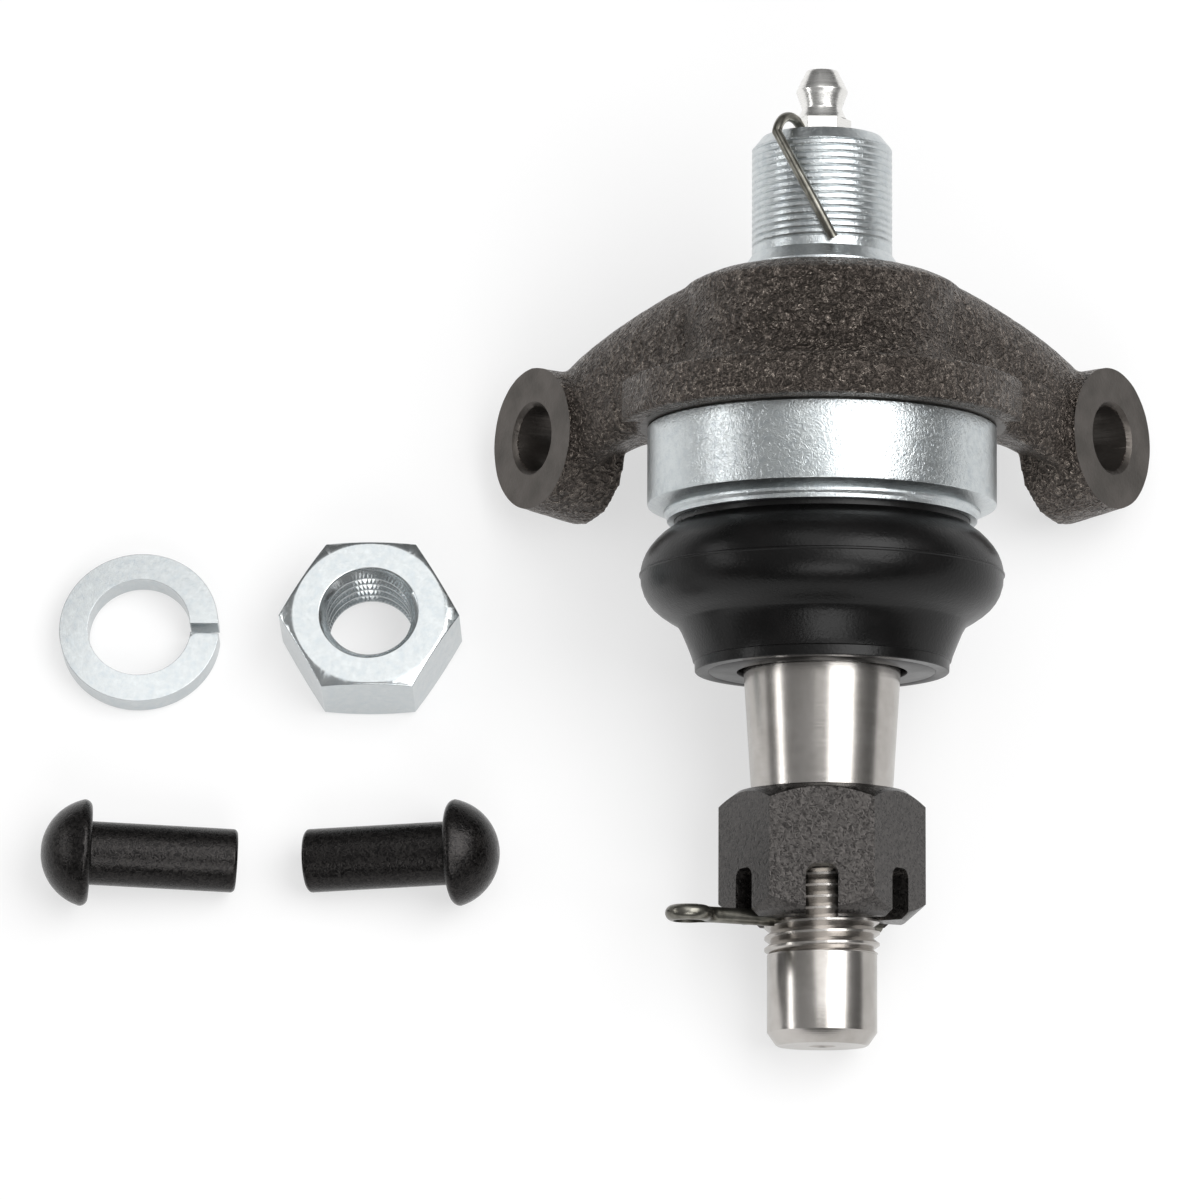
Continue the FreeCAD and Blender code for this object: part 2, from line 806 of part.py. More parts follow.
def arm_section(name):
    """Rounded section of an arm, across its sweep from the bell to the ear."""
    front, back = f"arm_{name}_front", f"arm_{name}_back"
    top, bottom = f"arm_{name}_top", f"arm_{name}_bottom"
    curve, inset = " - arm_corner", " - 0.2929 * arm_corner"
    plus_curve, plus_inset = " + arm_corner", " + 0.2929 * arm_corner"
    outline = [
        (front, bottom + plus_curve, front + plus_inset, bottom + plus_inset),
        (front + plus_curve, bottom),
        (back + curve, bottom, back + inset, bottom + plus_inset),
        (back, bottom + plus_curve),
        (back, top + curve, back + inset, top + inset),
        (back + curve, top),
        (front + plus_curve, top, front + plus_inset, top + inset),
        (front, top + curve),
    ]
    return draw(yoke, f"yoke_arm_{name}", "YZ_Plane", outline, lift=f"arm_{name}_x")


arm_sections = [arm_section(name) for name in ("root", "shoulder", "middle", "end", "tip")]
arm = yoke.newObject("PartDesign::AdditiveLoft", "yoke_arm")
arm.Profile = arm_sections[0]
arm.Sections = arm_sections[1:]
doc.recompute()

turn = math.radians(size("ear_angle"))
ear_normal = FreeCAD.Vector(math.cos(turn), -math.sin(turn), 0)
ear_across = FreeCAD.Vector(math.sin(turn), math.cos(turn), 0)
ear_rotation = FreeCAD.Rotation(ear_across, FreeCAD.Vector(0, 0, 1), ear_normal, "ZXY")
ear_face = FreeCAD.Vector(size("ear_x"), size("ear_depth"), size("ear_height"))
ear_back = ear_face - ear_normal * size("ear_thickness")
ear_droop = FreeCAD.Vector(0, 0, size("ear_droop"))
ear_foot = draw_circle(
    yoke,
    "yoke_ear_back",
    "XY_Plane",
    "ear_back_radius",
    lift=FreeCAD.Placement(ear_back - ear_droop, ear_rotation),
)
ear_circle = draw_circle(
    yoke, "yoke_ear_face", "XY_Plane", "ear_radius", lift=FreeCAD.Placement(ear_face, ear_rotation)
)
ear = yoke.newObject("PartDesign::AdditiveLoft", "yoke_ear")
ear.Profile = ear_foot
ear.Sections = [ear_circle]
doc.recompute()
both_arms = yoke.newObject("PartDesign::Mirrored", "yoke_both_arms")
both_arms.Originals = [arm, ear]
both_arms.MirrorPlane = (origin_plane(yoke, "YZ_Plane"), [""])
yoke.Tip = both_arms
doc.recompute()
groove(
    yoke,
    "yoke_housing_bore",
    [
        ("0", "cup_lip"),
        (spot_face_radius, "cup_lip"),
        (spot_face_radius, "cup_top"),
        ("dome_radius + press_gap", "cup_top"),
        ("dome_radius + press_gap", "dome_shoulder"),
        ("collar_radius + press_gap", "dome_top"),
        ("collar_radius + press_gap", "yoke_top"),
        ("0", "yoke_top"),
    ],
)
bore_circle = draw_circle(
    yoke, "yoke_bore_circle", "XY_Plane", "ear_bore_radius", lift=FreeCAD.Placement(ear_face, ear_rotation)
)
ear_bore = pocket(yoke, "yoke_ear_bore", bore_circle, "2 * ear_thickness + 2 * arm_corner")
seat_circle = draw_circle(
    yoke,
    "yoke_bolt_seat_circle",
    "XY_Plane",
    "ear_bore_radius + bolt_seat_margin",
    lift=FreeCAD.Placement(ear_back, ear_rotation),
)
bolt_seat = pocket(yoke, "yoke_bolt_seat", seat_circle, "2 * arm_corner", both_ways=False)
both_bores = yoke.newObject("PartDesign::Mirrored", "yoke_both_bores")
both_bores.Originals = [ear_bore, bolt_seat]
both_bores.MirrorPlane = (origin_plane(yoke, "YZ_Plane"), [""])
yoke.Tip = both_bores
doc.recompute()


def edges_where(shape, wanted):
    return [f"Edge{index}" for index, edge in enumerate(shape.Edges, 1) if wanted(edge)]


def is_bore_rim(edge):
    """True for the mouth of an ear's bore on its machined face."""
    if not isinstance(edge.Curve, Part.Circle):
        return False
    is_bore = abs(edge.Curve.Radius - size("ear_bore_radius")) < 1e-4
    return is_bore and abs(abs(edge.Curve.Center.x) - size("ear_x")) < 1e-3


rims = yoke.newObject("PartDesign::Chamfer", "yoke_bore_chamfers")
rims.Base = (both_bores, edges_where(both_bores.Shape, is_bore_rim))
bind(rims, Size="ear_bore_chamfer")
doc.recompute()

# Wire hooked over the end of the shank


def round_shank(angle, height, radius):
    turned_by = math.radians(angle)
    return FreeCAD.Vector(radius * math.sin(turned_by), -radius * math.cos(turned_by), height)


def hooked_wire_shape():
    """Round wire lying across the front of the shank, bent back over its end towards the grease fitting."""
    wire = size("wire_radius")
    lie = size("shank_radius") + wire + size("running_fit")
    foot_angle, bend_angle = size("wire_foot_angle"), size("wire_bend_angle")
    foot, bend = size("shank_start") + size("wire_foot_gap"), size("wire_bend_height")
    middle = round_shank(0.5 * (foot_angle + bend_angle), 0.5 * (foot + bend), lie + wire)
    start, corner = round_shank(foot_angle, foot, lie), round_shank(bend_angle, bend, lie + wire)
    top = size("shank_end") + wire + size("running_fit")
    inner = round_shank(bend_angle, top, size("wire_inner_radius"))
    crest = round_shank(bend_angle, top + size("wire_rise"), 0.55 * lie + 0.45 * size("wire_inner_radius"))
    leg, hook = Part.Arc(start, middle, corner), Part.Arc(corner, crest, inner)
    pieces = [Part.makeSphere(wire, corner)]
    for curve, place_on in ((leg, start), (hook, corner)):
        section = Part.Wire(Part.makeCircle(wire, place_on, curve.tangent(curve.FirstParameter)[0]))
        pieces.append(swept(Part.Wire(curve.toShape()), section))
    return pieces[0].multiFuse(pieces[1:]).removeSplitter()


hooked_wire = set_feature("hooked_wire", hooked_wire_shape())

# Lying on the table: the tilt at which both ear backs and the castle nut's lower flat touch one plane


def lean_on_table():
    """Tilt of the stud below level, in radians, and the height of the ball's centre over the table."""
    back_depth = size("ear_depth") + size("ear_thickness") * math.sin(turn)
    rim, slant = size("ear_back_radius"), math.cos(turn)
    face, corner = size("nut_bottom_face_radius"), 0.57735 * size("nut_flats")
    slot_side = math.hypot(0.5 * size("nut_flats"), 0.5 * size("slot_width"))
    flat_end = size("nut_bottom") + size("nut_bottom_chamfer") * (slot_side - face) / (corner - face)
    deep = back_depth - 0.5 * size("nut_flats")
    long = size("ear_height") - size("ear_droop") - flat_end
    root = math.sqrt((deep * long) ** 2 - (long**2 - rim**2) * (deep**2 - (rim * slant) ** 2))
    tilt = math.atan((deep * long + root) / (long**2 - rim**2))
    return tilt, 0.5 * size("nut_flats") * math.cos(tilt) - flat_end * math.sin(tilt)


lean, ball_height = lean_on_table()
lying = FreeCAD.Placement(
    FreeCAD.Vector(0, 0, 0), FreeCAD.Rotation(FreeCAD.Vector(1, 0, 0), math.degrees(lean) - 90)
)
check_ball_pose = FreeCAD.Placement(FreeCAD.Vector(0, 0, number(ball_place)), FreeCAD.Rotation())
place(subparts, lying)
check_ball.Placement = lying.multiply(check_ball_pose)

# Loose lock washer: one turn of wedge-section wire, sprung open at its split

lock_washer = new_body("lock_washer")
washer_outer = "washer_bore_radius + washer_width"
washer_section = [
    ("washer_bore_radius - press_gap", "0"),
    (washer_outer, "0.03 * washer_thickness"),
    (washer_outer, "0.97 * washer_thickness"),
    ("washer_bore_radius - press_gap", "washer_thickness"),
]
washer_sketch = draw(lock_washer, "lock_washer_section", "XZ_Plane", washer_section)
coil = feature(lock_washer, "AdditiveHelix", "lock_washer_coil", washer_sketch)
coil.Mode = 0
coil.setExpression("Pitch", formula("washer_spring"))
coil.setExpression("Height", formula("washer_spring - washer_gap * washer_spring"))
coil.LeftHanded = True
doc.recompute()
washer_bore = draw_circle(lock_washer, "lock_washer_bore_circle", "XY_Plane", "washer_bore_radius")
pocket(lock_washer, "lock_washer_bore", washer_bore, "4 * washer_thickness")
lock_washer.Placement = FreeCAD.Placement(
    FreeCAD.Vector(size("washer_x"), size("washer_y"), -ball_height), FreeCAD.Rotation(FreeCAD.Vector(0, 0, 1), -3)
)

# Loose jam nut

jam_nut = new_body("jam_nut")
jam_outline = draw(jam_nut, "jam_hexagon", "XY_Plane", hexagon("jam_nut_flats"))
feature(jam_nut, "Pad", "jam_blank", jam_outline, Length="jam_nut_height")
chamfer_corners(
    jam_nut, "jam_top_chamfer", "jam_nut_flats", "jam_nut_face_radius", "jam_nut_height", "jam_nut_height - jam_nut_chamfer"
)
chamfer_corners(jam_nut, "jam_bottom_chamfer", "jam_nut_flats", "jam_nut_face_radius", "0", "jam_nut_chamfer")
jam_bore = draw_circle(jam_nut, "jam_bore_circle", "XY_Plane", "jam_nut_bore_radius")
pocket(jam_nut, "jam_bore", jam_bore, "4 * jam_nut_height")
for face, name in (("jam_nut_height", "top"), ("0", "bottom")):
    inward = "-" if name == "top" else ""
    deep_end = "jam_nut_height - jam_nut_countersink" if name == "top" else "jam_nut_countersink"
    groove(
        jam_nut,
        f"jam_{name}_countersink",
        [
            ("0.5 * jam_nut_bore_radius", face),
            ("jam_nut_bore_radius + jam_nut_countersink", face),
            ("0.5 * jam_nut_bore_radius", deep_end + (" - " if name == "top" else " + ") + "0.5 * jam_nut_bore_radius"),
        ],
    )
jam_nut.Placement = FreeCAD.Placement(
    FreeCAD.Vector(size("jam_nut_x"), size("jam_nut_y"), -ball_height), FreeCAD.Rotation()
)


def rivet(label, across, head_side):
    """Round-head rivet lying on the table on its brim and the end of its shank."""
    body = turned(
        label,
        [
            ("0", "-rivet_length"),
            ("rivet_radius - rivet_end_chamfer", "-rivet_length"),
            ("rivet_radius", "rivet_end_chamfer - rivet_length"),
            ("rivet_radius", "0"),
            (
                "rivet_head_radius - rivet_head_brim",
                "0",
                "rivet_head_radius - 0.2929 * rivet_head_brim",
                "0.2929 * rivet_head_brim",
            ),
            (
                "rivet_head_radius",
                "rivet_head_brim",
                "0.6 * rivet_head_radius",
                "0.796 * rivet_head_height",
            ),
            ("0.1 * rivet_head_radius", "rivet_head_height"),
            ("0", "rivet_head_height"),
        ],
    )
    edge, brim = size("rivet_length") - size("rivet_end_chamfer"), size("rivet_head_brim")
    rise = size("rivet_head_radius") - brim - size("rivet_radius")
    tip = math.atan(rise / (edge + brim)) + math.asin(brim / math.hypot(rise, edge + brim))
    direction = FreeCAD.Vector(head_side * math.cos(tip), 0, math.sin(tip))
    height = size("rivet_radius") * math.cos(tip) + edge * math.sin(tip)
    body.Placement = FreeCAD.Placement(
        FreeCAD.Vector(across, size("rivet_y"), height - ball_height),
        FreeCAD.Rotation(FreeCAD.Vector(0, 0, 1), direction),
    )


rivet("rivet_left", size("rivet_left_x"), -1)
rivet("rivet_right", size("rivet_right_x"), 1)

# Every object has to be sound before any file is written

doc.recompute()
for thing in doc.Objects:
    if {"Invalid", "Error"} & set(thing.State):
        raise ValueError(f"{thing.Label} is {thing.State}")
for subpart in subparts:
    if subpart.Shape.isNull() or not subpart.Shape.isValid():
        raise ValueError(f"{subpart.Label} has no valid shape")
os.makedirs("parts", exist_ok=True)
for subpart in subparts:
    subpart.Shape.exportStep(f"parts/{subpart.Label}.step")
print(f"lean {math.degrees(lean):.2f} degrees, ball {ball_height:.2f} above the table")
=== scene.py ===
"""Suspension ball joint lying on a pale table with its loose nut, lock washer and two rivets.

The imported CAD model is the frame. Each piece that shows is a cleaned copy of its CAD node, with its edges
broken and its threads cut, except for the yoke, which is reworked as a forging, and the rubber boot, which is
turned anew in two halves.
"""

import json
import math

import bpy
from mathutils import Matrix, Vector


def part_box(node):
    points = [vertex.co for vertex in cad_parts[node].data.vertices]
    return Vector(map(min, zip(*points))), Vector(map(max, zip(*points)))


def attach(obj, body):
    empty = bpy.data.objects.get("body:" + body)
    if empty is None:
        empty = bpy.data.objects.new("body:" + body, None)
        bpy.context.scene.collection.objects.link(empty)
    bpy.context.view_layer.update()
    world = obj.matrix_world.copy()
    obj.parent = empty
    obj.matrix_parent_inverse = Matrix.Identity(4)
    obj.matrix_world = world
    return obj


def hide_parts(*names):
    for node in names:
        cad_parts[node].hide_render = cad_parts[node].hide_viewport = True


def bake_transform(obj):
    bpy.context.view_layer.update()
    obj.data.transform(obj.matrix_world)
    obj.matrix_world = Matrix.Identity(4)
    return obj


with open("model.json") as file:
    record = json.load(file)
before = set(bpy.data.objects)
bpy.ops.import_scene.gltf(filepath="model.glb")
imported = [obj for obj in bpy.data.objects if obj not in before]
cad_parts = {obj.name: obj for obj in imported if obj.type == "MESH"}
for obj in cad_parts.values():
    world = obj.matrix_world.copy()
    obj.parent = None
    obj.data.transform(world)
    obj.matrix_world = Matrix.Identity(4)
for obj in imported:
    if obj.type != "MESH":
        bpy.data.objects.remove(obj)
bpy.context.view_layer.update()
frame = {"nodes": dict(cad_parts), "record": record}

MM = 0.001
mounts = {mount["name"]: mount for mount in frame["record"]["mounts"]}
bodies = frame["record"]["behaviour"]["bodies"]
body_of_node = {node: body for body, nodes in bodies.items() for node in nodes}
table_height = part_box("jam_nut")[0][2]

# The joint is drawn about its ball with the shank along +Z. LYING turns that to how it lies on the table.
shank_direction = -Vector(mounts["ball_centre"]["axis"])
ACROSS = Vector((1, 0, 0))
LYING = Matrix((ACROSS, shank_direction.cross(ACROSS), shank_direction)).transposed().to_4x4()


# Hand tools


def select_only(piece):
    if bpy.context.mode != "OBJECT":
        bpy.ops.object.mode_set(mode="OBJECT")
    bpy.ops.object.select_all(action="DESELECT")
    piece.select_set(True)
    bpy.context.view_layer.objects.active = piece


def edit_all(piece):
    select_only(piece)
    bpy.ops.object.mode_set(mode="EDIT")
    bpy.ops.mesh.select_all(action="SELECT")


def leave_edit():
    bpy.ops.object.mode_set(mode="OBJECT")


def apply_modifier(piece, kind, **settings):
    """Adds a modifier with its settings and applies it."""
    modifier = piece.modifiers.new(kind.title(), kind)
    for name, value in settings.items():
        setattr(modifier, name, value)
    select_only(piece)
    bpy.ops.object.modifier_apply(modifier=modifier.name)


def move_into_mesh(piece, matrix):
    """Turns and moves the piece, then leaves its object at the origin with its place in its mesh."""
    piece.matrix_world = matrix @ piece.matrix_world
    select_only(piece)
    bpy.ops.object.transform_apply(location=True, rotation=True, scale=True)


def arc(centre, radius, start, end, count):
    """Points of an arc of a profile, with its angles in degrees from the outward radius."""
    angles = [math.radians(start + (end - start) * step / count) for step in range(count + 1)]
    return [(centre[0] + radius * math.cos(a), centre[1] + radius * math.sin(a)) for a in angles]


def turn_profile(name, profile, steps=128):
    """A profile of (radius, height) points in millimetres, drawn vertex by vertex and spun about Z.

    A profile that begins and ends on the axis stays open, because the axis closes it.
    """
    points = [Vector((radius * MM, 0, height * MM)) for radius, height in profile]
    bpy.ops.object.select_all(action="DESELECT")
    bpy.ops.mesh.primitive_plane_add(size=MM, location=points[0])
    piece = bpy.context.object
    piece.name = name
    edit_all(piece)
    bpy.ops.mesh.merge(type="CENTER")
    on_axis = profile[0][0] == 0 and profile[-1][0] == 0
    for start, end in zip(points, points[1:] + ([] if on_axis else points[:1])):
        bpy.ops.mesh.extrude_region_move(TRANSFORM_OT_translate={"value": end - start})
    bpy.ops.mesh.select_all(action="SELECT")
    bpy.ops.mesh.remove_doubles(threshold=1e-6)
    bpy.ops.mesh.spin(steps=steps, angle=2 * math.pi, center=(0, 0, 0), axis=(0, 0, 1))
    bpy.ops.mesh.select_all(action="SELECT")
    bpy.ops.mesh.remove_doubles(threshold=1e-6)
    bpy.ops.mesh.normals_make_consistent(inside=False)
    leave_edit()
    bpy.ops.object.transform_apply(location=True, rotation=True, scale=True)
    return piece


def smooth(piece, angle=35):
    select_only(piece)
    bpy.ops.object.shade_smooth_by_angle(angle=math.radians(angle))


def cleaned_copy(node):
    """The node's mesh in an object of its own, with its loose triangles joined and flat faces made whole."""
    source = frame["nodes"][node]
    piece = bpy.data.objects.new(node + "_finished", source.data.copy())
    bpy.context.scene.collection.objects.link(piece)
    edit_all(piece)
    bpy.ops.mesh.remove_doubles(threshold=2e-6)
    bpy.ops.mesh.dissolve_limited(angle_limit=math.radians(0.4))
    leave_edit()
    return piece


def even_shading(piece, angle=32):
    """Smooth shading that leaves flat faces flat beside their rounded edges."""
    smooth(piece, angle)
    apply_modifier(piece, "WEIGHTED_NORMAL", weight=60, keep_sharp=True)


def break_edges(piece, width, angle=32):
    """Small rounded chamfers, as deburring leaves on machined edges."""
    apply_modifier(
        piece,
        "BEVEL",
        width=width * MM,
        segments=2,
        limit_method="ANGLE",
        angle_limit=math.radians(angle),
        use_clamp_overlap=True,
        harden_normals=False,
    )


def join(name, pieces):
    """Makes one object of several closed shells."""
    select_only(pieces[0])
    for piece in pieces[1:]:
        piece.select_set(True)
    bpy.ops.object.join()
    pieces[0].name = name
    return pieces[0]


def cut_away(piece, tool):
    """Machines the tool's shape out of the piece. The new faces take the tool's material."""
    apply_modifier(
        piece, "BOOLEAN", operation="DIFFERENCE", object=tool, solver="EXACT", material_mode="TRANSFER"
    )
    bpy.data.objects.remove(tool, do_unlink=True)


def put_on(piece, node, material=None):
    """Dresses the piece, shows it in the node's place and lets it ride on the node's body."""
    if material:
        piece.data.materials.clear()
        piece.data.materials.append(material)
    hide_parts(node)
    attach(piece, body_of_node[node])


def dress(node, material):
    """Gives a CAD node that shows as it is its material."""
    for slot in frame["nodes"][node].material_slots:
        slot.material = material


def cut_thread(piece, radius, depth, pitch, start, end, placing=None, steps=72):
    """Cuts a V groove along a helix, as a lathe does. A negative depth cuts outwards, into a bore's wall."""
    half, over = 0.46 * pitch, 0.12 * (1 if depth > 0 else -1)
    corners = ((radius + over, -half), (radius - depth, 0.0), (radius + over, half))
    points = [Vector((r * MM, 0, (start + z) * MM)) for r, z in corners]
    bpy.ops.object.select_all(action="DESELECT")
    bpy.ops.mesh.primitive_plane_add(size=MM, location=points[0])
    tool = bpy.context.object
    edit_all(tool)
    bpy.ops.mesh.merge(type="CENTER")
    for first, second in zip(points, points[1:]):
        bpy.ops.mesh.extrude_region_move(TRANSFORM_OT_translate={"value": second - first})
    bpy.ops.mesh.select_all(action="SELECT")
    bpy.ops.mesh.edge_face_add()
    bpy.ops.mesh.delete(type="ONLY_FACE")
    leave_edit()
    bpy.ops.object.transform_apply(location=True, rotation=True, scale=True)
    turns = (end - start) / pitch
    apply_modifier(
        tool,
        "SCREW",
        axis="Z",
        angle=2 * math.pi * turns,
        screw_offset=(end - start) * MM,
        steps=int(steps * turns),
        render_steps=int(steps * turns),
        use_normal_calculate=True,
        use_merge_vertices=False,
    )
    edit_all(tool)
    bpy.ops.mesh.remove_doubles(threshold=1e-7)
    bpy.ops.mesh.fill_holes(sides=4)
    bpy.ops.mesh.select_all(action="SELECT")
    bpy.ops.mesh.normals_make_consistent(inside=False)
    leave_edit()
    move_into_mesh(tool, placing or LYING)
    apply_modifier(piece, "BOOLEAN", operation="DIFFERENCE", object=tool, solver="EXACT")
    bpy.data.objects.remove(tool, do_unlink=True)


# Materials. Noise scales count cells a metre, so that 1000 makes a grain of 1 mm.


def linear(colour):
    """The linear value of an sRGB hex colour."""
    values = [int(colour[i : i + 2], 16) / 255 for i in (1, 3, 5)]
    return [v / 12.92 if v <= 0.04045 else ((v + 0.055) / 1.055) ** 2.4 for v in values] + [1.0]


def add_node(tree, kind, links=(), **settings):
    """Adds a node. Settings name its properties or inputs, and links are (input, node, output) triples."""
    node = tree.nodes.new("ShaderNode" + kind)
    for name, value in settings.items():
        if name in node.inputs:
            node.inputs[name].default_value = value
        else:
            setattr(node, name, value)
    for target, source, output in links:
        tree.links.new(source.outputs[output], node.inputs[target])
    return node


def new_material(name, colour, metallic, roughness, **settings):
    """A material with its shader, its Object coordinates and its node tree."""
    material = bpy.data.materials.new(name)
    material.use_nodes = True
    tree = material.node_tree
    shader = tree.nodes["Principled BSDF"]
    shader.inputs["Base Color"].default_value = linear(colour)
    shader.inputs["Metallic"].default_value = metallic
    shader.inputs["Roughness"].default_value = roughness
    for socket, value in settings.items():
        shader.inputs[socket.replace("_", " ")].default_value = value
    return material, tree, shader, add_node(tree, "TexCoord")


def ramp(tree, source, output, stops):
    """Maps a pattern's values to the colours or values at its stops."""
    node = add_node(tree, "ValToRGB", [("Fac", source, output)])
    elements = node.color_ramp.elements
    while len(elements) < len(stops):
        elements.new(0.5)
    for element, (place, colour) in zip(elements, stops):
        element.position = place
        element.color = linear(colour) if isinstance(colour, str) else (colour, colour, colour, 1)
    return node


def across_stud(tree, coordinates, along, around):
    """Object coordinates in the stud's frame, squeezed so that a noise runs along or round its axis."""
    turn = LYING.inverted().to_euler()
    upright = add_node(tree, "Mapping", [("Vector", coordinates, "Object")], Rotation=tuple(turn))
    return add_node(tree, "Mapping", [("Vector", upright, "Vector")], Scale=(around, around, along))


def bumpy(tree, shader, source, output, depth, strength=1.0, below=None):
    links = [("Height", source, output)]
    if below:
        links.append(("Normal", below, "Normal"))
    node = add_node(tree, "Bump", links, Strength=strength, Distance=depth * MM)
    tree.links.new(node.outputs["Normal"], shader.inputs["Normal"])
    return node


def forged_steel():
    """Drop-forged steel with its grey-brown scale: pebbles of 0.7 mm, with painted shade in their pits and a
    painted glint on their crests, together with rubbed wear on the crests.
    """
    material, tree, shader, place = new_material("forged_steel_scale", "#433e3a", 0.85, 0.4)
    pebbles = add_node(
        tree, "TexNoise", [("Vector", place, "Object")], Scale=1350, Detail=2, Roughness=0.45, Distortion=1.5
    )
    dents = add_node(tree, "TexNoise", [("Vector", place, "Object")], Scale=520, Detail=3)
    # Painted shade and painted glint: the colour follows the pebbles of the relief, darker in the pits and
    # lighter on the crests.
    tone = ramp(tree, pebbles, "Fac", [(0.34, "#3e3935"), (0.5, "#514a45"), (0.66, "#746c65")])
    tree.links.new(tone.outputs["Color"], shader.inputs["Base Color"])
    relief = add_node(tree, "Math", [(0, pebbles, "Fac"), (1, dents, "Fac")], operation="ADD")
    bumpy(tree, shader, relief, "Value", 1.0)
    gloss = ramp(tree, pebbles, "Fac", [(0.35, 0.44), (0.7, 0.22)])
    tree.links.new(gloss.outputs["Color"], shader.inputs["Roughness"])
    return material


def machined_steel():
    """Faced and bored steel of the ears, left bare and darkened: grey, with the tool's fine marks."""
    material, tree, shader, place = new_material("machined_steel", "#55504c", 0.85, 0.42)
    marks = add_node(tree, "TexNoise", [("Vector", place, "Object")], Scale=2400, Detail=3)
    stain = add_node(tree, "TexNoise", [("Vector", place, "Object")], Scale=240, Detail=4)
    tone = ramp(tree, stain, "Fac", [(0.35, "#4c4844"), (0.65, "#5d5854")])
    tree.links.new(tone.outputs["Color"], shader.inputs["Base Color"])
    bumpy(tree, shader, marks, "Fac", 0.03)
    return material


def zinc_plate(name, colour, along, around, crackle, roughness=0.3):
    """Bright zinc plate over machined steel: a bluish sheen, lines from the tool and a crackle of 0.6 mm.

    The lines and the crackle are drawn coarser than real, so that they show.
    """
    material, tree, shader, place = new_material(name, colour, 1.0, roughness)
    lines = add_node(
        tree,
        "TexNoise",
        [("Vector", across_stud(tree, place, along, around), "Vector")],
        Scale=1,
        Detail=3,
        Roughness=0.6,
    )
    cells = add_node(tree, "TexNoise", [("Vector", place, "Object")], Scale=1600, Detail=2, Distortion=2.0)
    mottle = add_node(tree, "TexNoise", [("Vector", place, "Object")], Scale=900, Detail=6, Roughness=0.75)
    tone = ramp(tree, mottle, "Fac", [(0.3, "#bac1c5"), (0.55, colour), (0.8, "#cdd3d5")])
    tree.links.new(tone.outputs["Color"], shader.inputs["Base Color"])
    gloss = ramp(tree, lines, "Fac", [(0.3, roughness - 0.02), (0.7, roughness + 0.03)])
    tree.links.new(gloss.outputs["Color"], shader.inputs["Roughness"])
    turned = bumpy(tree, shader, lines, "Fac", 0.004)
    bumpy(tree, shader, cells, "Fac", crackle, below=turned)
    return material


def boot_rubber():
    """Moulded black rubber: satin, with the finest grain and a faint bloom."""
    material, tree, shader, place = new_material(
        "moulded_rubber", "#0b0b0b", 0.0, 0.36, IOR=1.5, Specular_IOR_Level=0.24
    )
    grain = add_node(tree, "TexNoise", [("Vector", place, "Object")], Scale=2600, Detail=3)
    bloom = add_node(tree, "TexNoise", [("Vector", place, "Object")], Scale=160, Detail=5, Roughness=0.6)
    tone = ramp(tree, bloom, "Fac", [(0.35, "#060606"), (0.6, "#0a0909"), (0.8, "#11100f")])
    tree.links.new(tone.outputs["Color"], shader.inputs["Base Color"])
    gloss = ramp(tree, bloom, "Fac", [(0.3, 0.26), (0.7, 0.36)])
    tree.links.new(gloss.outputs["Color"], shader.inputs["Roughness"])
    bumpy(tree, shader, grain, "Fac", 0.03)
    return material


def ground_steel():
    """Ground steel: bright, with grinding lines of 0.14 mm round the stud and a faint stain."""
    material, tree, shader, place = new_material("ground_steel", "#b8b4b0", 1.0, 0.24)
    lines = add_node(
        tree,
        "TexNoise",
        [("Vector", across_stud(tree, place, 7000, 40), "Vector")],
        Scale=1,
        Detail=3,
        Roughness=0.6,
    )
    stain = add_node(tree, "TexNoise", [("Vector", place, "Object")], Scale=160, Detail=5, Roughness=0.65)
    tone = ramp(tree, stain, "Fac", [(0.35, "#aca8a3"), (0.65, "#bebab6")])
    tree.links.new(tone.outputs["Color"], shader.inputs["Base Color"])
    gloss = ramp(tree, lines, "Fac", [(0.3, 0.2), (0.7, 0.27)])
    tree.links.new(gloss.outputs["Color"], shader.inputs["Roughness"])
    bumpy(tree, shader, lines, "Fac", 0.006)
    return material


def dark_oxide(name, colour, worn_colour, metallic, roughness):
    """Black oxide on steel: a dark skin, a little rubbed. Its grain is coarser than real, so that it shows."""
    material, tree, shader, place = new_material(name, colour, metallic, roughness)
    swirls = add_node(
        tree, "TexNoise", [("Vector", place, "Object")], Scale=2200, Detail=3, Roughness=0.5, Distortion=1.2
    )
    tone = ramp(tree, swirls, "Fac", [(0.36, colour), (0.66, worn_colour)])
    tree.links.new(tone.outputs["Color"], shader.inputs["Base Color"])
    gloss = ramp(tree, swirls, "Fac", [(0.3, roughness - 0.07), (0.7, roughness + 0.1)])
    tree.links.new(gloss.outputs["Color"], shader.inputs["Roughness"])
    bumpy(tree, shader, swirls, "Fac", 0.05)
    return material


def drawn_wire():
    """Drawn steel wire, oiled and darkened."""
    material, tree, shader, place = new_material("drawn_wire", "#74726a", 0.95, 0.28)
    streaks = add_node(tree, "TexNoise", [("Vector", place, "Object")], Scale=700, Detail=4)
    tone = ramp(tree, streaks, "Fac", [(0.35, "#605e57"), (0.7, "#8a8880")])
    tree.links.new(tone.outputs["Color"], shader.inputs["Base Color"])
    bumpy(tree, shader, streaks, "Fac", 0.02)
    return material


def bright_nickel():
    """Nickel plate on a small turned fitting: very bright, with soft tool lines."""
    material, tree, shader, place = new_material("bright_nickel", "#ecebe8", 1.0, 0.28)
    lines = add_node(
        tree, "TexNoise", [("Vector", across_stud(tree, place, 3000, 90), "Vector")], Scale=1, Detail=3
    )
    gloss = ramp(tree, lines, "Fac", [(0.3, 0.22), (0.7, 0.32)])
    tree.links.new(gloss.outputs["Color"], shader.inputs["Roughness"])
    bumpy(tree, shader, lines, "Fac", 0.01)
    return material


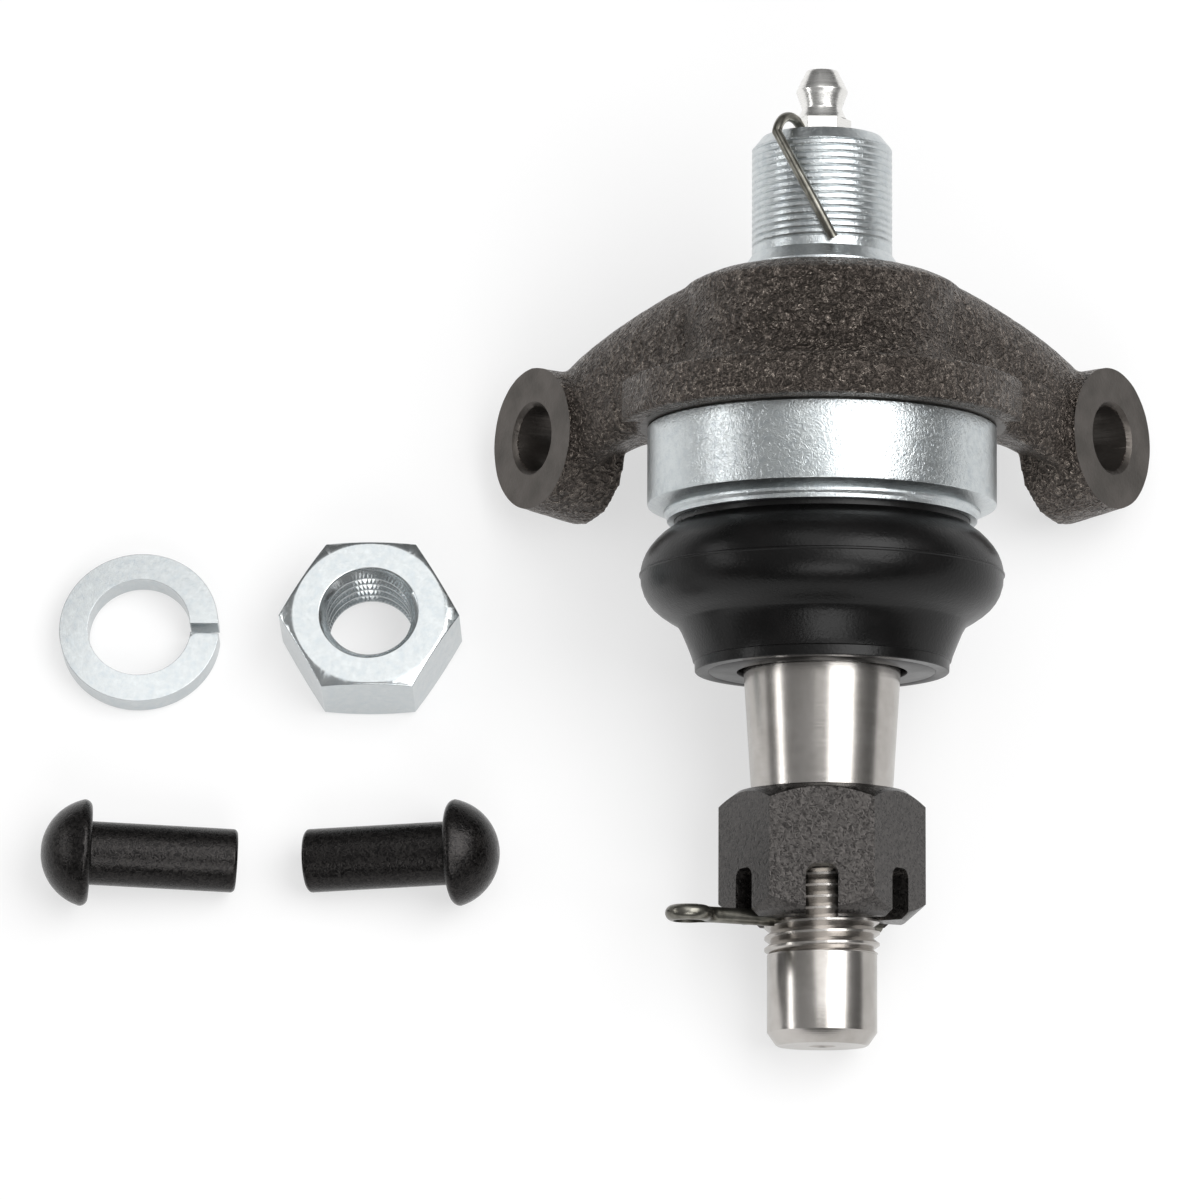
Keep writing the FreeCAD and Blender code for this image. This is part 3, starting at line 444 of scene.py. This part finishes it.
def spring_steel():
    """Plain spring steel of the inner rings."""
    material, tree, shader, place = new_material("spring_steel", "#a9a6a1", 1.0, 0.35)
    grain = add_node(tree, "TexNoise", [("Vector", place, "Object")], Scale=900, Detail=3)
    bumpy(tree, shader, grain, "Fac", 0.02)
    return material


def liner_plastic():
    """Moulded acetal of the bearing liners: off-white and waxy."""
    material, tree, shader, place = new_material("acetal_liner", "#d8d2c4", 0.0, 0.4, IOR=1.48)
    grain = add_node(tree, "TexNoise", [("Vector", place, "Object")], Scale=600, Detail=3)
    bumpy(tree, shader, grain, "Fac", 0.02)
    return material


FORGED = forged_steel()
MACHINED = machined_steel()
ZINC_CUP = zinc_plate("zinc_plate_turned", "#ccd1d2", 2500, 60, 0.06)
ZINC_LOOSE = zinc_plate("zinc_plate_loose", "#c4c8c9", 1500, 1500, 0.006, 0.24)
RUBBER = boot_rubber()
GROUND = ground_steel()
NUT_OXIDE = dark_oxide("phosphated_nut", "#343231", "#575452", 0.9, 0.29)
RIVET_OXIDE = dark_oxide("black_oxide", "#1c1b1b", "#343231", 0.85, 0.27)
WIRE = drawn_wire()
NICKEL = bright_nickel()
SPRING = spring_steel()
LINER = liner_plastic()


# Yoke: the solid reworked as a forging, with its corners rolled over and a lively skin, then machined


EAR_CHAMFER = 0.4
SPARE_STOCK = 1.2
BOLT_SEAT_RADIUS = 5.65
FORGING_VOXEL = 0.4
CORNER_ROLLS = 7
HAMMER_MARK_SIZE = 2.6
HAMMER_MARK_DEPTH = 0.13
ON_FACE = 0.05  # how near an ear's plane its own face lies


def ear_frame(mount):
    """Where an ear's machined face lies, with Z out of its bore."""
    outward = Vector(mount["axis"])
    face = Vector(mount["pos_m"]) + outward * (mount["dims"]["length_mm"] / 2 + EAR_CHAMFER) * MM
    side = Vector((0, 1, 0)).cross(outward).normalized()
    frame_of_face = Matrix((side, outward.cross(side), outward)).transposed().to_4x4()
    frame_of_face.translation = face
    return frame_of_face


def leave_stock(yoke, ear):
    """Draws the face of an ear out a little, as the forging comes before it is faced."""
    outward, level = ear.col[2].xyz, ear.translation.dot(ear.col[2].xyz)
    edit_all(yoke)
    bpy.ops.mesh.select_all(action="DESELECT")
    leave_edit()
    for face in yoke.data.polygons:
        on_plane = abs(face.center.dot(outward) - level) < ON_FACE * MM
        face.select = on_plane and face.normal.dot(outward) > 0.99
    bpy.ops.object.mode_set(mode="EDIT")
    bpy.ops.mesh.extrude_region_move(TRANSFORM_OT_translate={"value": outward * SPARE_STOCK * MM})
    leave_edit()


def machine_ear(yoke, mount):
    """Faces the ear, bores it with a small countersink and cuts the bolt's seat on its back."""
    ear = ear_frame(mount)
    bore, back = mount["dims"]["r_mm"] + 0.02, -mount["dims"]["length_mm"] - EAR_CHAMFER
    facing = turn_profile("facing_cutter", [(0, 0), (14, 0), (14, 6), (0, 6)])
    drill = turn_profile("drill", [(0, -15), (bore, -15), (bore, -0.55), (bore + 1.6, 1.05), (0, 1.05)], 96)
    seat = turn_profile(
        "seat_cutter", [(0, back - 10), (BOLT_SEAT_RADIUS, back - 10), (BOLT_SEAT_RADIUS, back), (0, back)]
    )
    for tool in (facing, drill, seat):
        tool.data.materials.append(MACHINED)
        move_into_mesh(tool, ear)
        cut_away(yoke, tool)


def machine_seat(yoke):
    """Bores the yoke for the housing and spot-faces its underside for the cup."""
    outline = [(0, -8), (22.9, -8), (22.9, 4.6), (16.03, 4.6), (16.03, 6), (9.99, 15.2), (9.99, 27), (0, 27)]
    seat = turn_profile("seat_cutter", outline)
    seat.data.materials.append(MACHINED)
    move_into_mesh(seat, LYING)
    cut_away(yoke, seat)


def rework_yoke():
    """Forges the yoke from its CAD solid, then machines its seat and its two ears."""
    ears = [mounts[name] for name in ("ear_bore_left", "ear_bore_right")]
    yoke = cleaned_copy("yoke")
    yoke.name = "forged_yoke"
    for ear in ears:
        leave_stock(yoke, ear_frame(ear))
    apply_modifier(
        yoke,
        "REMESH",
        mode="VOXEL",
        voxel_size=FORGING_VOXEL * MM,
        adaptivity=0.0,
        use_smooth_shade=True,
    )
    apply_modifier(yoke, "SMOOTH", factor=0.5, iterations=CORNER_ROLLS)
    hammer = bpy.data.textures.new("hammer_marks", "CLOUDS")
    hammer.noise_scale = HAMMER_MARK_SIZE * MM
    hammer.noise_depth = 2
    apply_modifier(
        yoke,
        "DISPLACE",
        texture=hammer,
        texture_coords="GLOBAL",
        strength=HAMMER_MARK_DEPTH * MM,
        mid_level=0.45,
    )
    yoke.data.materials.clear()
    yoke.data.materials.append(FORGED)
    machine_seat(yoke)
    for ear in ears:
        machine_ear(yoke, ear)
    smooth(yoke, 42)
    put_on(yoke, "yoke")


# Turned and threaded steel


CUP = (
    [(1.6, 26.35), (8.8, 26.35), (9.95, 24.7), (9.95, 15.2), (16.0, 6.0), (16.0, 4.58)]
    + [(21.55, 4.58), (21.8, 4.33)]
    + [(21.8, -5.05), (21.72, -5.3), (19.95, -6.12), (19.72, -6.12)]
    + [(19.72, -5.2), (15.45, -5.2), (15.45, 0.02)]
    + arc((0, 0), 13.8, 0.1, 58.2, 14)
    + [(7.25, 15.54), (1.6, 15.54)]
)
SHANK = [(1.6, 26.35), (8.8, 26.35), (8.8, 39.88), (7.55, 41.43), (3.12, 41.43), (3.12, 35.81), (1.6, 32.73)]
TAPER = (
    [(0, 11.6), (3.07, 11.6)]
    + arc((0, 0), 12.0, 74, -58.3, 30)
    + [(6.3, -14.5), (9.8, -19.5), (9.8, -25.4), (8.8, -41.0), (8.7, -41.1), (0, -41.1)]
)
STUD_THREAD = [(0, -41.1), (7.14, -41.1), (7.14, -61.0), (6.75, -61.4), (0, -61.4)]
PILOT = (
    [(0, -61.4), (6.75, -61.4), (6.8, -61.5), (6.8, -71.0), (5.75, -72.5)]
    + [(5.5, -72.65), (1.7, -72.65), (0, -70.45)]
)


def turned_shell(name, profile):
    shell = turn_profile(name, profile)
    move_into_mesh(shell, LYING)
    return shell


def thread_shank():
    """Housing: its cup, and its shank with the thread cut, as two closed shells."""
    shank = turned_shell("shank", SHANK)
    # Shallower than a real thread, and as faint as the photograph shows it
    cut_thread(shank, radius=8.8, depth=0.15, pitch=0.87, start=27.0, end=43.0)
    cup = turned_shell("cup", CUP)
    smooth(shank, 24)
    smooth(cup, 30)
    put_on(join("cup_and_shank", [cup, shank]), "housing", ZINC_CUP)


def thread_stud():
    """Ball stud: ball and taper, threaded length and plain pilot, as three closed shells."""
    thread = turned_shell("thread", STUD_THREAD)
    cut_thread(thread, radius=7.14, depth=0.78, pitch=1.41, start=-62.2, end=-42.0)
    taper, pilot = turned_shell("taper", TAPER), turned_shell("pilot", PILOT)
    smooth(thread, 24)
    smooth(taper, 30)
    smooth(pilot, 30)
    put_on(join("tapered_stud", [taper, thread, pilot]), "ball_stud", GROUND)


def thread_jam_nut():
    """Loose nut with its corners broken and its bore threaded."""
    nut = cleaned_copy("jam_nut")
    nut.name = "loose_nut"
    low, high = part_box("jam_nut")
    centre = Matrix.Translation(((low[0] + high[0]) / 2, (low[1] + high[1]) / 2, low[2]))
    break_edges(nut, 0.14, 42)
    cut_thread(nut, radius=5.35, depth=-0.85, pitch=1.7, start=-1.5, end=11.2, placing=centre)
    even_shading(nut, 28)
    put_on(nut, "jam_nut", ZINC_LOOSE)


def break_corners():
    """Machined and stamped pieces whose CAD shape stands, with their edges broken."""
    for node, name, width, material in (
        ("castle_nut", "slotted_nut", 0.12, NUT_OXIDE),
        ("lock_washer", "split_washer", 0.32, ZINC_LOOSE),
        ("closing_ring", "crimped_ring", 0.08, ZINC_CUP),
        ("grease_fitting", "grease_nipple", 0.1, NICKEL),
        ("rivet_left", "round_rivet_left", 0.15, RIVET_OXIDE),
        ("rivet_right", "round_rivet_right", 0.15, RIVET_OXIDE),
    ):
        piece = cleaned_copy(node)
        piece.name = name
        break_edges(piece, width, 42)
        even_shading(piece)
        put_on(piece, node, material)


# Rubber boot: two halves that meet at the mould's parting line


# Heights along the stud: the parting line, where the boot's neck ends and where its lip begins
SEAM = -14.05
UPPER_OUTSIDE = (
    (13.3, -6.82),
    (18.41, -6.82),
    (18.45, -8.0),
    (19.1, -8.5),
    (20.0, -9.15),
    (20.8, -9.95),
    (21.5, -10.8),
    (21.98, -11.6),
    (22.35, -12.5),
    (22.55, -13.3),
    (22.6, -13.85),
    (22.75, -13.97),
    (22.75, SEAM),
)
UPPER_INSIDE = ((20.85, SEAM), (20.6, -12.4), (19.9, -11.0), (18.8, -9.9), (17.3, -9.3), (13.3, -8.6))
LOWER_OUTSIDE = (
    (22.75, SEAM),
    (22.75, -14.13),
    (22.6, -14.25),
    (22.52, -15.3),
    (22.15, -16.5),
    (21.7, -17.3),
    (21.1, -18.05),
    (20.3, -18.75),
    (19.2, -19.5),
    (18.2, -20.1),
    (17.95, -20.35),
    (17.5, -21.1),
    (16.9, -22.5),
    (16.3, -24.0),
    (16.1, -24.65),
    (16.05, -24.85),
    (15.85, -24.95),
    (15.8, -26.1),
    (15.7, -26.2),
    (14.25, -26.2),
    (14.1, -26.08),
    (13.95, -26.2),
    (10.6, -26.2),
    (10.55, -26.1),
)
LOWER_INSIDE = (
    (10.55, -24.4),
    (14.2, -24.3),
    (15.0, -22.4),
    (16.0, -20.3),
    (18.0, -18.9),
    (20.0, -17.0),
    (20.75, -15.4),
    (20.85, SEAM),
)


def make_boot_half(name, profile):
    half = turn_profile(name, profile, 144)
    move_into_mesh(half, LYING)
    smooth(half, 40)
    half.data.materials.append(RUBBER)
    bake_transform(half)
    return half


def make_boot():
    upper_profile, lower_profile = UPPER_OUTSIDE + UPPER_INSIDE, LOWER_OUTSIDE + LOWER_INSIDE
    upper = make_boot_half("boot_upper", upper_profile)
    lower = make_boot_half("boot_lower", lower_profile)
    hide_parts("boot")
    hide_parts("boot")


rework_yoke()
thread_shank()
thread_stud()
thread_jam_nut()
break_corners()
make_boot()
for node, material in {
    "cotter_pin": WIRE,
    "hooked_wire": WIRE,
    "upper_bearing": LINER,
    "lower_bearing": LINER,
    "pressure_plate": SPRING,
    "preload_spring": SPRING,
    "boot_neck_ring": SPRING,
    "boot_lip_ring": SPRING,
    "fitting_check_ball": NICKEL,
    "fitting_check_spring": SPRING,
}.items():
    dress(node, material)


# Table, light and camera


TABLE_SIZE = 3.0
TABLE_WHITENESS = 0.6
SOFTBOX_DISTANCE = 0.9


def show_white(tree, plain, amount):
    """Mixes a shader with an amount of plain white where the camera, a reflection or a glass looks at it."""
    seen = add_node(tree, "LightPath")
    either = add_node(
        tree, "Math", [(0, seen, "Is Camera Ray"), (1, seen, "Is Glossy Ray")], operation="MAXIMUM"
    )
    any_ray = add_node(
        tree, "Math", [(0, either, "Value"), (1, seen, "Is Transmission Ray")], operation="MAXIMUM"
    )
    share = add_node(tree, "Math", [(0, any_ray, "Value")], operation="MULTIPLY")
    share.inputs[1].default_value = amount
    white = add_node(tree, "Emission", Color=(1, 1, 1, 1), Strength=1.0)
    mix = add_node(tree, "MixShader", [(0, share, "Value")])
    tree.links.new(plain.outputs[0], mix.inputs[1])
    tree.links.new(white.outputs[0], mix.inputs[2])
    return mix


def lay_table():
    bpy.ops.object.select_all(action="DESELECT")
    bpy.ops.mesh.primitive_plane_add(size=TABLE_SIZE, location=(0, 0, table_height))
    table = bpy.context.object
    table.name = "table"
    material = bpy.data.materials.new("white_table")
    material.use_nodes = True
    tree = material.node_tree
    output = tree.nodes["Material Output"]
    tree.nodes.remove(tree.nodes["Principled BSDF"])
    paper = add_node(tree, "BsdfDiffuse", Color=(0.9, 0.9, 0.9, 1), Roughness=1.0)
    mix = show_white(tree, paper, TABLE_WHITENESS)
    tree.links.new(mix.outputs[0], output.inputs["Surface"])
    table.data.materials.append(material)


def hang_lamp(name, direction, size, power):
    """A softbox that looks at the joint from a direction."""
    place = Vector(direction).normalized() * SOFTBOX_DISTANCE
    bpy.ops.object.light_add(type="AREA", location=place)
    lamp = bpy.context.object
    lamp.name = name
    lamp.data.shape = "RECTANGLE"
    lamp.data.size, lamp.data.size_y = size
    lamp.data.energy = power
    lamp.rotation_euler = (-place).to_track_quat("-Z", "Y").to_euler()


def light_studio():
    """A dim room with a pale ceiling, and softboxes that hang from it."""
    world = bpy.data.worlds.new("studio")
    bpy.context.scene.world = world
    world.use_nodes = True
    tree = world.node_tree
    background = tree.nodes["Background"]
    background.inputs["Color"].default_value = (1, 1, 1, 1)
    direction = add_node(tree, "TexCoord")
    steepness = add_node(tree, "SeparateXYZ", [("Vector", direction, "Generated")])
    room = ramp(tree, steepness, "Z", [(0.0, 0.12), (0.3, 0.16), (1.0, 0.44)])
    seen = add_node(tree, "LightPath")
    either = add_node(tree, "Math", [(0, room, "Color"), (1, seen, "Is Camera Ray")], operation="MAXIMUM")
    tree.links.new(either.outputs["Value"], background.inputs["Strength"])
    hang_lamp("key_softbox", (0.6, -0.05, 1.0), (0.95, 0.6), 7.2)
    hang_lamp("ceiling_softbox", (-0.05, 0.22, 1.0), (0.4, 0.8), 1.3)
    hang_lamp("left_softbox", (-1.0, 0.0, 0.4), (0.8, 0.12), 1.5)
    hang_lamp("front_softbox", (0.1, -1.0, 0.7), (0.5, 0.35), 1.8)


# The photograph's view, in the stud's frame: what it looks at, from how far and how steeply
LOOK_AT = (-27.6, 0.0, -17.07)
CAMERA_ACROSS = 0.0
CAMERA_DISTANCE = 870
CAMERA_DROP = math.radians(8.8)
FOCAL_PIXELS = 7000
IMAGE_PIXELS = 1200


def set_camera():
    toward = Vector((0, -math.cos(CAMERA_DROP), -math.sin(CAMERA_DROP)))
    upward = Vector((0, -math.sin(CAMERA_DROP), math.cos(CAMERA_DROP)))
    pose = Matrix((toward.cross(upward) * -1, upward, toward)).transposed().to_4x4()
    aim = Vector((CAMERA_ACROSS, *LOOK_AT[1:]))
    pose.translation = (aim + toward * CAMERA_DISTANCE) * MM
    data = bpy.data.cameras.new("camera")
    data.sensor_width = 36
    data.lens = 36 * FOCAL_PIXELS / IMAGE_PIXELS
    data.shift_x = (LOOK_AT[0] - CAMERA_ACROSS) / CAMERA_DISTANCE * FOCAL_PIXELS / IMAGE_PIXELS
    data.clip_start, data.clip_end = 0.05, 10
    camera = bpy.data.objects.new("camera", data)
    bpy.context.scene.collection.objects.link(camera)
    camera.matrix_world = LYING @ pose
    bpy.context.scene.camera = camera


lay_table()
light_studio()
set_camera()
bpy.context.scene.view_settings.view_transform = "Standard"
